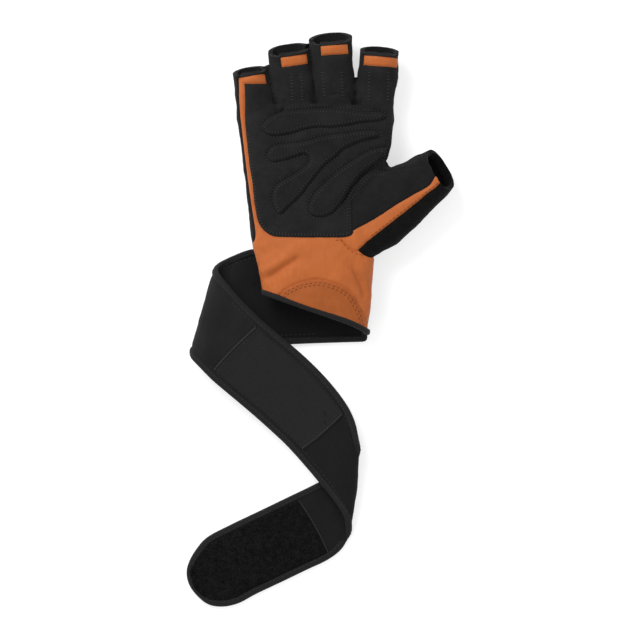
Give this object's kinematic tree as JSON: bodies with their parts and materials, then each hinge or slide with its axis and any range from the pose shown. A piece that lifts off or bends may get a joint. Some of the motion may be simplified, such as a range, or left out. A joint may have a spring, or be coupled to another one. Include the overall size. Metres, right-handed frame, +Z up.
{
  "type": "weightlifting glove",
  "caption": "Fingerless weightlifting glove with a padded suede palm, orange leather heel and bands, and a long wrist strap lying loose in an S.",
  "frame": {"origin": "on the surface under the middle of the glove and its strap", "axes": "X towards the thumb, Y towards the fingers, Z up out of the palm"},
  "size_m": [0.1762, 0.3784, 0.0325],
  "materials": {
    "knit": "matt stretch fabric",
    "suede": "black synthetic suede with a fine nap",
    "orange_leather": "soft orange leather with a fine grain",
    "towelling": "black looped towelling",
    "binding": "black woven tape",
    "strap_fabric": "matt laminated strap fabric",
    "woven_elastic": "ribbed elastic webbing",
    "hook_fabric": "hook fastener with short stiff hooks"
  },
  "bodies": {
    "root": {"back_panel": "knit", "palm_panel": "suede", "palm_base": "orange_leather", "heel_patch": "orange_leather", "ring_band": "orange_leather", "middle_band": "orange_leather", "index_band": "orange_leather", "knuckle_pad": "suede", "bow_pad": "suede", "heel_pad": "suede", "thumb_front": "suede", "thumb_strip": "orange_leather", "thumb_back": "towelling", "cuff_binding": "binding", "wrist_strap": "strap_fabric", "strap_binding": "binding", "grip_panel": "woven_elastic", "hook_patch": "hook_fabric"}
  },
  "joints": []
}
